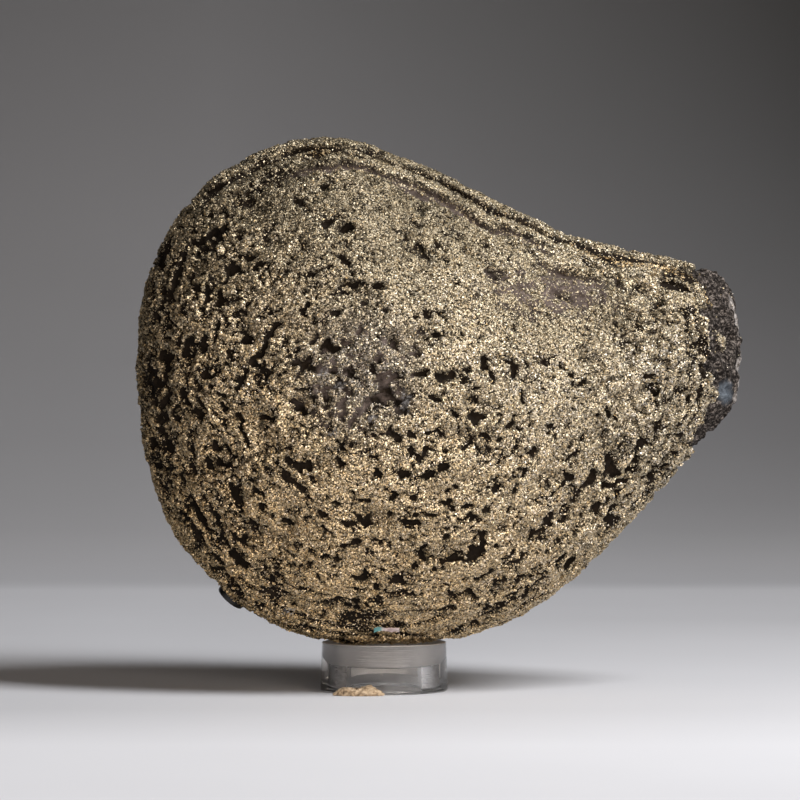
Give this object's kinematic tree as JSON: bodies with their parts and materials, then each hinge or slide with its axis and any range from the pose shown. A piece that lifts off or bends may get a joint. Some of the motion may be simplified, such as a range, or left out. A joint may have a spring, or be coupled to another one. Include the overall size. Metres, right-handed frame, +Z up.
{
  "type": "pyrite concretion on a display ring",
  "caption": "Pear-shaped pyrite concretion with a granular pitted crust and a snapped end, standing on its rim on a short clear acrylic ring.",
  "frame": {"origin": "on the surface that the ring stands on, under the middle of the whole object's box", "axes": "+X towards the snapped end along the longest side, +Y from the front face of the lens to its back, +Z up"},
  "size_m": [0.154, 0.0767, 0.1395],
  "materials": {
    "pyrite_crust": "granular metallic crust of small pyrite crystals over dark shale",
    "clear_acrylic": "clear polished",
    "black_rubber": "satin moulded",
    "label_paper": "matte, blank",
    "dried_putty": "dry and crumbly"
  },
  "bodies": {
    "root": {"concretion": "pyrite_crust", "display_ring": "clear_acrylic", "rubber_bumper": "black_rubber", "label_scrap": "label_paper", "putty_lump": "dried_putty"}
  },
  "joints": []
}
